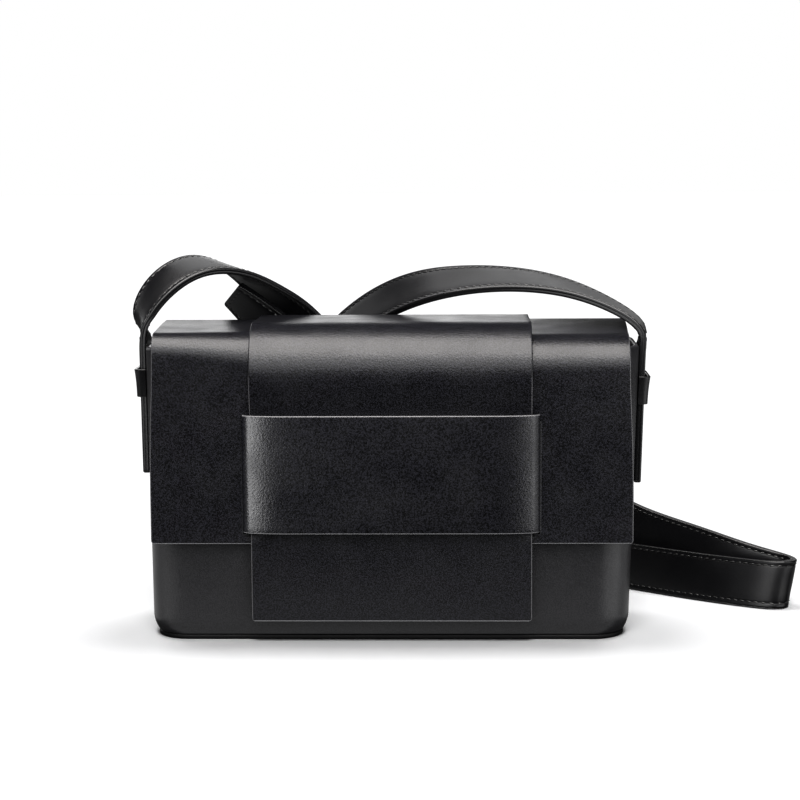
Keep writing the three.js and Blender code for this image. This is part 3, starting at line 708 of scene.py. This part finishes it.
# %% Strap routes
# columns: x, y, z of the middle, then x, y, z of the way across
SHORT_ROUTE = np.concatenate([tail_rows(-1, [75, 92, 108, 121, 131, 138.5]), [
    (-118.3, 0, 147, -0.5, 0.86, 0.05),
    (-111.2, 1, 159.2, -0.46, 0.83, 0.36),
    (-99.9, 5, 168.8, -0.45, 0.84, 0.33),
    (-87, 12, 172, -0.52, 0.82, 0.22),
    (-73.5, 25.8, 166.8, -0.69, 0.7, 0.1),
    (-60.5, 37.8, 154.8, -0.78, 0.56, -0.08),
    (-47.5, 46, 141, -0.75, 0.38, -0.5),
    (-35, 51, 124, -0.68, 0.2, -0.65),
    (-19, 55.5, 106.5, -0.62, 0, -0.72),
    (-4, 58, 92.5, -0.55, -0.05, -0.8),
], overlap_rows([1, 0.3, -0.4, -1], STRAP_THICK + GAP, -1)])
LONG_ROUTE = np.concatenate([tail_rows(1, [70, 88, 104, 116, 126, 133]), [
    (117.6, 0.5, 140.5, 0.14, 0.98, 0),
    (108, 2.5, 149, 0.12, 0.98, 0.03),
    (82, 8, 160.5, 0, 0.97, 0.2),
    (52, 14, 164, 0, 0.94, 0.34),
    (24, 22, 161.5, -0.05, 0.88, 0.46),
    (0, 41, 154, -0.1, 0.82, 0.55),
    (-24, 65, 138, -0.1, 0.75, 0.65),
    (-46, 86, 112, -0.1, 0.6, 0.8),
    (-66, 108, 82, -0.1, 0.45, 0.85),
    (-82, 128, 50, -0.1, 0.3, 0.95),
    (-84, 150, 24, 0, 0.1, 1),
    (-66, 170, 12, 0, 0, 1),
    (-34, 176, 11.8, 0, 0, 1),
    (2, 166, 11.8, 0, 0, 1),
    (40, 142, 11.8, 0, 0.05, 1),
    (80, 110, 11.8, 0, 0.05, 1),
    (114, 82, 11.8, 0, 0.1, 1),
    (146, 56, 11.7, 0, 0.25, 1),
    (172, 39, 11.8, 0.08, 0.2, 1),
    (187, 31, 11.9, 0.15, 0.1, 1),
    (194.5, 39, 12.2, 0.18, 0, 1),
    (189.5, 48, 13, 0.22, 0, 0.97),
    (172, 53, 17, 0.22, -0.1, 0.97),
    (148, 67.5, 23.8, 0.2, -0.12, 0.97),
    (122, 88.5, 28.6, 0.2, -0.1, 0.97),
    (98, 97, 40.5, 0.3, 0, 0.95),
    (70, 83, 55, 0.4, 0.1, 0.92),
], overlap_rows([-1.6, -0.8, 0, 0.8, 1.6], 0, 1), [
    (-22, 49.5, 98, 0.5, -0.05, 0.85),
    (-44, 50, 117, 0.5, -0.15, 0.8),
    (-60.5, 39.8, 139.7, 0.46, -0.5, 0.68),
    (-78.8, 39.1, 154.9, 0.354, -0.793, 0.496),
]])
print("route rows", len(SHORT_ROUTE), len(LONG_ROUTE))


# %% Smooth routes
def guided(rows, count=6000):
    """Cubic B-spline along a table of rows, clamped at both ends: each point is a weighted mean of the
    four rows nearest to it, with weights built up degree by degree from the knots."""
    knots = np.concatenate([[0, 0, 0], np.linspace(0, 1, len(rows) - 2), [1, 1, 1]])
    t = np.linspace(0, 1 - 1e-9, count)[:, None]
    weight = ((knots[:-1] <= t) & (t < knots[1:])).astype(float)
    for degree in (1, 2, 3):
        width = knots[degree:] - knots[:-degree]
        slope = np.where(width > 0, 1 / np.where(width > 0, width, 1), 0)
        rise = (t - knots[:-degree]) * slope
        fall = (knots[degree:] - t) * slope
        weight = rise[:, :-1] * weight[:, :-1] + fall[:, 1:] * weight[:, 1:]
    return weight @ rows


short_guide, long_guide = guided(SHORT_ROUTE), guided(LONG_ROUTE)
short_length, long_length = line_length(short_guide[:, :3]), line_length(long_guide[:, :3])
print("strap lengths", round(short_length, 1), round(long_length, 1), "mm")

# %% [markdown]
# ## The strap's section
# Two layers of leather are glued and sewn back to back, and their edges are painted. So the section has
# a very shallow groove halfway up each edge, round arrises, a sunk channel where the stitches lie and a
# low crown between the channels. It is carried along each route with its own twist.

# %% Sewn strap
STITCH_INSET, CHANNEL_HALF, CHANNEL_DEPTH, CROWN_HEIGHT, FACE_LIFT = 2.3, 0.65, 0.2, 0.12, 0.06
STRAP_ARRIS, ARRIS_STEPS, STRAP_STEP, STRAP_CORNER = 0.8, 5, 1.6, 1.5


def strap_section():
    """The upper half of the strap's section, from its right edge to its left, as sheet_section gives it."""
    flat = STRAP_WIDTH / 2 - STRAP_ARRIS
    line = STRAP_WIDTH / 2 - STITCH_INSET
    about_line = np.array([1.0, CHANNEL_HALF, 0.3, 0.0, -0.3, -CHANNEL_HALF, -1.1])
    right_half = np.concatenate([[flat], line + about_line, [5.0, 2.5]])
    across = np.concatenate([-right_half, [0.0], right_half[::-1]])
    sunk = CHANNEL_DEPTH * np.clip(1.3 - np.abs(np.abs(across) - line) / CHANNEL_HALF, 0, 1)
    crown = CROWN_HEIGHT * (np.clip(1 - (across / (line - 1)) ** 2, 0, 1) - 1)
    share, added, height, mark = sheet_section(across / flat, STRAP_THICK, STRAP_ARRIS, ARRIS_STEPS)
    height[ARRIS_STEPS:-ARRIS_STEPS] += (crown - sunk)[::-1] + FACE_LIFT
    groove_in, groove_up = np.array([0.1, 0.04, 0.0]), np.array([0.05, 0.25, 0.55])
    share = np.concatenate([np.ones(3), share, -np.ones(3)])
    added = np.concatenate([STRAP_ARRIS - groove_in, added, groove_in[::-1] - STRAP_ARRIS])
    height = np.concatenate([groove_up, height, groove_up[::-1]])
    return share, added, height, np.concatenate([np.ones(3), mark, np.ones(3)])


def strap_frames(guide, places):
    """The guide's middle and way across at places along it."""
    rows = spaced(guide, places)
    return rows[:, :3], rows[:, 3:]


def strap_piece(node, guide):
    """The section carried along the whole guide, its ends rounded in plan and over their edges."""
    length = line_length(guide[:, :3])
    places = end_places(length, STRAP_STEP, STRAP_ARRIS, STRAP_CORNER)
    line, across = strap_frames(guide, places)
    _, narrowed, thin = end_shares(places, length, STRAP_THICK, STRAP_ARRIS, STRAP_CORNER)
    rows, mark = carry(strap_section(), line, across, STRAP_WIDTH / 2 - narrowed, STRAP_ARRIS, thin)
    make_piece(node + "_leather", rows, satin, "strap_leather", node, edge=mark)


strap_piece("strap_short", short_guide)
strap_piece("strap_long", long_guide)

# %% [markdown]
# ## Stitches
# The stitches run along both edges of both faces, about three and a half millimetres apart, and across
# the free end. Each is a small plump capsule that leans a little, half sunk in its channel. One capsule
# is worked out on a grid and placed at every stitch at once, as one big array for each strap piece.

# %% Stitches along the strap
STITCH_PITCH, STITCH_LONG, STITCH_WIDE, STITCH_HIGH, STITCH_LEAN = 3.5, 2.7, 0.72, 0.5, 0.16
STITCH_SINK, STITCH_TIP, END_RISE, SEAM_START, SEAM_STOP = 0.12, 0.04, 0.02, 3.0, 2.0


def capsule(rings=6, round_points=6):
    """A unit capsule: rings from tail to nose whose radius follows a flattened half circle."""
    place = np.linspace(-1, 1, rings)
    radius = np.maximum(1 - np.abs(place) ** 3, 0.0) ** 0.5 + STITCH_TIP
    angle = (np.arange(round_points) + 0.5) / round_points * 2 * np.pi
    return np.stack([np.broadcast_to(place[:, None], (rings, round_points)),
                     radius[:, None] * np.cos(angle), radius[:, None] * np.sin(angle)], -1)


def sew(name, centres, along, across, out):
    """A capsule at each centre, long along the seam, wide across it and low above the leather."""
    one = capsule()
    sized = one * np.array([STITCH_LONG / 2, STITCH_WIDE / 2, STITCH_HIGH / 2])
    axes = np.stack([along, across, out], 1)
    points = centres[:, None, None] + np.einsum("rcj,njk->nrck", sized, axes)
    first_points = np.arange(len(centres))[:, None, None] * one.shape[0] * one.shape[1]
    faces = (loft_faces(*one.shape[:2])[None] + first_points).reshape(-1, 4)
    make_piece(name, points, thread, "strap_leather", faces=faces)


def gathered(sets):
    """Sets of arrays joined, the first with the first, the second with the second, and so on."""
    return [np.concatenate(group) for group in zip(*sets)]


# %% Seams
def seam_axes(guide, places, step=0.5):
    """The strap's middle and its axes along, across and out at places along it; along runs from a step
    behind each place to a step ahead of it."""
    line, across = strap_frames(guide, places)
    along = unit(strap_frames(guide, places + step)[0] - strap_frames(guide, places - step)[0])
    return line, along, *across_and_out(along, across)


def on_both_faces(middle, run, side, out, height):
    """Centres and axes of stitches on both faces: each follows its run and leans a little to its side."""
    sets = []
    for face in (1, -1):
        lean = unit(run + face * STITCH_LEAN * side)
        centre, wide = middle + face * height * out, face * np.cross(out, lean)
        sets.append(np.broadcast_arrays(centre, lean, wide, face * out))
    return gathered(sets)


def seam_frames(guide, start, end):
    """Centres and axes of the stitches along both edges of both faces, from start to end."""
    line, along, across, out = seam_axes(guide, np.arange(start, end, STITCH_PITCH))
    inset, height = STRAP_WIDTH / 2 - STITCH_INSET, STRAP_THICK / 2 - STITCH_SINK
    return gathered([on_both_faces(line + edge * inset * across, along, edge * across, out, height)
                     for edge in (1, -1)])


def end_frames(guide, place):
    """Centres and axes of five stitches across the strap at one place, on both faces."""
    line, along, across, out = seam_axes(guide, np.array([place]))
    offset = STITCH_PITCH * np.arange(-2, 3)[:, None]
    return on_both_faces(line + offset * across, across, along, out, STRAP_THICK / 2 + END_RISE)


short_seams = seam_frames(short_guide, SEAM_START, short_length - SEAM_STOP)
long_seams = seam_frames(long_guide, SEAM_START, long_length - SEAM_STOP)
free_end = end_frames(long_guide, long_length - STITCH_INSET)
sew("strap_short_stitches", *short_seams)
sew("strap_long_stitches", *gathered([long_seams, free_end]))
print("stitches", len(short_seams[0]), len(long_seams[0]) + len(free_end[0]))

# %% [markdown]
# ## The side loops and the keeper
# A loop of thin leather on each side wall holds the end of the strap. It is a strip bent into a staple,
# with its feet against the wall, and it opens a little towards the top, where the strap comes in. Behind
# the bag a closed ring of the same leather, the keeper, holds the two strap pieces together.

# %% Side loops
LOOP_HEIGHT, LOOP_THICK, LOOP_SLACK, LOOP_BEND, LOOP_FLARE = 13.0, 1.3, 0.4, 2.0, 0.9
LOOP_FOOT, LOOP_ARRIS, LOOP_STEP = 0.4, 0.32, 0.7
loop_reach = STRAP_THICK + LOOP_SLACK + LOOP_THICK / 2
loop_half = STRAP_WIDTH / 2 + LOOP_SLACK + LOOP_THICK / 2
loop_line = in_plane(joined(
    straight((LOOP_FOOT, -loop_half), (loop_reach - LOOP_BEND, -loop_half)),
    arc((loop_reach - LOOP_BEND, -loop_half + LOOP_BEND), LOOP_BEND, -90, 0),
    straight((loop_reach, -loop_half + LOOP_BEND), (loop_reach, loop_half - LOOP_BEND)),
    arc((loop_reach - LOOP_BEND, loop_half - LOOP_BEND), LOOP_BEND, 0, 90),
    straight((loop_reach - LOOP_BEND, loop_half), (LOOP_FOOT, loop_half)),
), 0, 1)
loop_path = spaced(loop_line, end_places(line_length(loop_line), LOOP_STEP, LOOP_ARRIS))
loop_section = sheet_section(np.linspace(-1, 1, 13), LOOP_THICK, LOOP_ARRIS)
loop_rows, loop_mark = carry(loop_section, loop_path, [0, 0, 1.0], LOOP_HEIGHT / 2, LOOP_ARRIS,
                             lift=lambda u, line: LOOP_FLARE * (u / LOOP_HEIGHT + 0.5) ** 2)
out_x, out_y, rise = loop_rows[..., 0], loop_rows[..., 1], loop_rows[..., 2] + LOOP_HEIGHT / 2
for side_name, side, foot in (("left", -1, 111.0), ("right", 1, 107.0)):
    lean = np.arctan(side * (wall_x(side, foot + LOOP_HEIGHT) - wall_x(side, foot)) / LOOP_HEIGHT)
    x = side * wall_x(side, foot) + GAP + out_x * np.cos(lean) + rise * np.sin(lean)
    z = foot - out_x * np.sin(lean) + rise * np.cos(lean)
    node = f"side_loop_{side_name}"
    make_piece(node + "_leather", np.stack([side * x, side * out_y, z], -1), satin, "strap_leather", node,
               edge=loop_mark)

# %% Keeper
KEEPER_HEIGHT, KEEPER_THICK, KEEPER_BEND = 14.0, 1.5, 1.6
corner_x = STRAP_WIDTH / 2 + GAP + KEEPER_THICK / 2 - KEEPER_BEND
corner_y = STRAP_THICK + GAP / 2 + GAP + KEEPER_THICK / 2 - KEEPER_BEND
ring_line = joined(*[arc((sx * corner_x, sy * corner_y), KEEPER_BEND, first, first + 90)
                     for sx, sy, first in ((1, 1, 0), (-1, 1, 90), (-1, -1, 180), (1, -1, 270))])
ring_line = in_plane(joined(ring_line, ring_line[:1]), 0, 1)
ring_path = spaced(ring_line, np.linspace(0, line_length(ring_line), 121)[:-1])
ring_section = sheet_section(np.linspace(-1, 1, 9), KEEPER_THICK, LOOP_ARRIS)
ring_rows, ring_mark = carry(ring_section, ring_path, [0, 0, 1.0], KEEPER_HEIGHT / 2, LOOP_ARRIS)
keeper_middle = KEEPER_CENTRE + KEEPER_OUT * (STRAP_THICK + GAP) / 2
keeper_rows = keeper_middle + ring_rows @ np.stack([KEEPER_ACROSS, KEEPER_OUT, KEEPER_ALONG])
make_piece("strap_keeper_leather", keeper_rows, satin, "strap_leather", "strap_keeper", edge=ring_mark,
           faces=loft_faces(*keeper_rows.shape[:2], closed=True))

# %% [markdown]
# ## The floor
# The bag stands on white paper in a studio. Its leather mirrors the paper, and one material could give both
# the paper's look and its mirror image. But the two need different strengths here, so the floor is hidden
# from reflections, and lamps that lie on it give the bag its white.

# %% Floor
paper, tree, shader = principled("white_paper")
fill(tree, shader, {"Base Color": (0.9, 0.9, 0.905, 1), "Roughness": 0.9, "Specular IOR Level": 0.1})
FLOOR_FRONT, FLOOR_BACK, FLOOR_SIDE = -0.27, 6.0, 4.0
floor_mesh = bpy.data.meshes.new("floor")
floor_corners = [(-FLOOR_SIDE, FLOOR_FRONT, 0), (FLOOR_SIDE, FLOOR_FRONT, 0),
                 (FLOOR_SIDE, FLOOR_BACK, 0), (-FLOOR_SIDE, FLOOR_BACK, 0)]
floor_mesh.from_pydata(floor_corners, [], [(0, 1, 2, 3)])
floor_mesh.materials.append(paper)
floor = bpy.data.objects.new("floor", floor_mesh)
floor.visible_glossy = False
bpy.context.collection.objects.link(floor)
print("floor", 2 * FLOOR_SIDE, "x", FLOOR_BACK - FLOOR_FRONT, "m")

# %% [markdown]
# ## The lights
# Three far lamps light the paper alone, so it stays evenly white and the shadow lies close round the bag.
# The bag has its own lamps. One wide soft light hangs above and a little in front, so the upper bends
# shine and the upright faces stay dark. Softer ones stand in front, at the sides and behind, for the pale
# lines along the edges. A photographer would keep some light off a piece with black cards; here each lamp
# names the group of pieces that it lights.

# %% Lamps and how they hang
def hang(name, lamp, place, aim, lit):
    """Hangs a lamp at a place, facing its aim, unseen by the camera, for the things in a group alone."""
    holder = bpy.data.objects.new(name, lamp)
    holder.matrix_world = facing(place, aim)
    holder.visible_camera = False
    holder.light_linking.receiver_collection = lit
    bpy.context.collection.objects.link(holder)
    print(name, place, lamp.energy)


def soft_light(name, place, aim, width, depth, power, lit, tint=(1, 1, 1)):
    """A rectangular lamp for the things in a group."""
    lamp = bpy.data.lights.new(name, "AREA")
    lamp.shape, lamp.size, lamp.size_y, lamp.energy, lamp.color = "RECTANGLE", width, depth, power, tint
    hang(name, lamp, place, aim, lit)


def floor_glow(name, low, high, strength, lit, height=0.0005):
    """A lamp lying on the floor between two corners and facing up: the white that the paper gives."""
    (x0, y0), (x1, y1) = low, high
    x, y, width, depth = (x0 + x1) / 2, (y0 + y1) / 2, x1 - x0, y1 - y0
    soft_light(name, (x, y, height), (x, y, 1.0), width, depth, strength * width * depth, lit)


def far_light(name, place, spread, strength):
    """A lamp for the floor, so far away that it lights it evenly; spread is its width in degrees."""
    lamp = bpy.data.lights.new(name, "SUN")
    lamp.energy, lamp.angle = strength, np.radians(spread)
    hang(name, lamp, place, (0, 0, 0), floor_group)


# %% Groups and lamps
bag_group, cover_group, band_group, strap_group, shell_group, floor_group = (
    bpy.data.collections.new(name) for name in ("bag", "cover", "band", "strap", "shell", "floor"))
floor_group.objects.link(floor)
for piece in made:
    bag_group.objects.link(piece)
    (band_group if piece == band else cover_group).objects.link(piece)
    (strap_group if piece.name.startswith("strap") else shell_group).objects.link(piece)
far_light("floor_front", (0.0, -0.6, 1.0), 20, 1.75)
far_light("floor_top_left", (-0.18, 0.158, 1.0), 18, 1.12)
far_light("floor_top_right", (0.18, 0.158, 1.0), 18, 1.12)
soft_light("overhead", (-0.05, -0.22, 0.62), (0.0, -0.03, 0.12), 0.9, 0.5, 19.5, bag_group,
           tint=(1.0, 0.97, 0.945))
soft_light("over_back", (0.05, 0.56, 0.72), (0.03, 0.0, 0.16), 1.0, 0.55, 3.3, strap_group)
soft_light("strap_front", (-0.22, -0.645, 0.1), (0.18, 0.035, 0.01), 0.4, 0.4, 1.5, strap_group)
soft_light("front_fill", (0.0, -0.54, 0.45), (0.0, -0.035, 0.12), 0.9, 0.35, 5.0, cover_group)
soft_light("front_low", (0.0, -0.8, 0.3), (0.0, -0.035, 0.12), 0.9, 0.22, 0.9, cover_group)
floor_glow("glow_front", (-0.4, -0.16), (0.4, -0.029), 3.1, cover_group)
floor_glow("glow_left", (-0.6, -0.1), (-0.125, 0.4), 3.0, shell_group)
floor_glow("glow_right", (0.125, -0.1), (0.6, 0.4), 3.0, shell_group)
floor_glow("glow_back", (-0.6, 0.04), (0.6, 0.4), 1.0, strap_group)
soft_light("band_left", (-0.59, -0.68, 0.03), (-0.06, 0.0, 0.08), 0.38, 0.45, 10.5, band_group)
soft_light("band_right", (0.59, -0.68, 0.03), (0.06, 0.0, 0.08), 0.38, 0.45, 3.4, band_group)
soft_light("left_side", (-0.75, -0.45, 0.1), (0.0, 0.0, 0.08), 0.5, 0.5, 0.6, bag_group)
soft_light("right_side", (0.8, -0.4, 0.1), (0.1, 0.0, 0.06), 0.8, 0.5, 4.0, bag_group)
soft_light("behind", (-0.64, 1.7, 0.5), (0.0, 0.0, 0.1), 1.7, 0.6, 7.0, bag_group)
soft_light("behind_right", (0.6, 1.7, 0.5), (0.0, 0.0, 0.1), 0.8, 0.6, 1.0, strap_group)

# %% [markdown]
# ## The background
# The paper runs up behind the bag in one sweep, with no edge to be seen. A bent sheet would show it too,
# but a white world is simpler: it is white where the camera sees it and dim as a light, so that the leather
# stays black. A gamma below one deepens the dark tones, as in a studio picture.

# %% World
WORLD_LIGHT, GAMMA = 0.08, 0.8
world = bpy.data.worlds.new("studio")
bpy.context.scene.world = world
world.use_nodes = True
sky = world.node_tree
sky.nodes.clear()
seen, lit = (add(sky, "Background", "Background", {"Color": (1, 1, 1, 1), "Strength": strength})
             for strength in (1.0, WORLD_LIGHT))
camera_ray = add(sky, "LightPath", "Is Camera Ray")
choice = add(sky, "MixShader", "Shader", {"Fac": camera_ray, 1: lit, 2: seen})
fill(sky, sky.nodes.new("ShaderNodeOutputWorld"), {"Surface": choice})
view = bpy.context.scene.view_settings
view.view_transform, view.gamma = "Standard", GAMMA
print("world ready")
